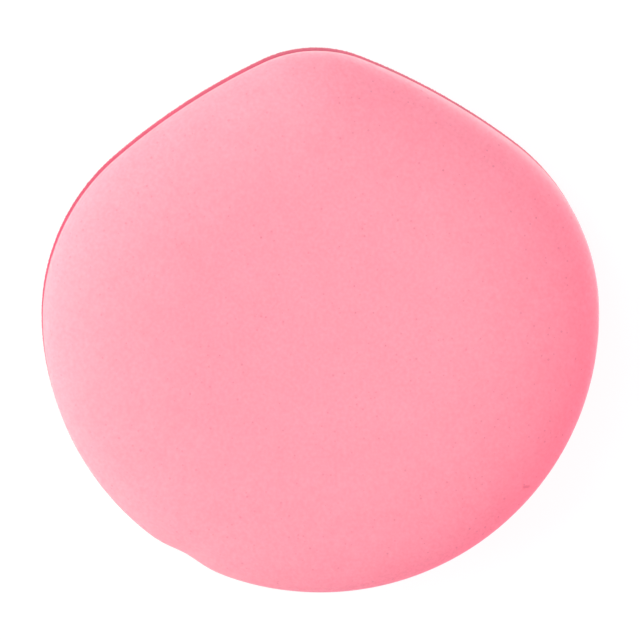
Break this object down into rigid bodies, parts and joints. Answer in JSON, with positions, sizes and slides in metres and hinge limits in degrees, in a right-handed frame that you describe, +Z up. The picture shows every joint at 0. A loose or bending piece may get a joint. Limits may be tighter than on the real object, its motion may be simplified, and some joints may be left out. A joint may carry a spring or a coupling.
{
  "type": "makeup sponge",
  "caption": "Flat two-sided makeup sponge with a blunt tip: a pale foam face and a darker plush back, bonded round a finger pocket that opens at the wide end.",
  "frame": {"origin": "centre of the plane the sponge lies on, under the middle of its overall box", "axes": "+Z up out of the pale face, +Y from the wide end towards the tip, +X to the right of the face"},
  "size_m": [0.08, 0.0782, 0.0203],
  "materials": {
    "face_foam": "matte",
    "core_foam": "matte",
    "pocket_knit": "matte",
    "film": "matte",
    "back_plush": "matte"
  },
  "bodies": {
    "root": {"face_sheet": "face_foam", "front_core": "core_foam", "front_lining": "pocket_knit", "bond_film": "film", "back_lining": "pocket_knit", "back_core": "core_foam", "back_cover": "back_plush"}
  },
  "joints": []
}
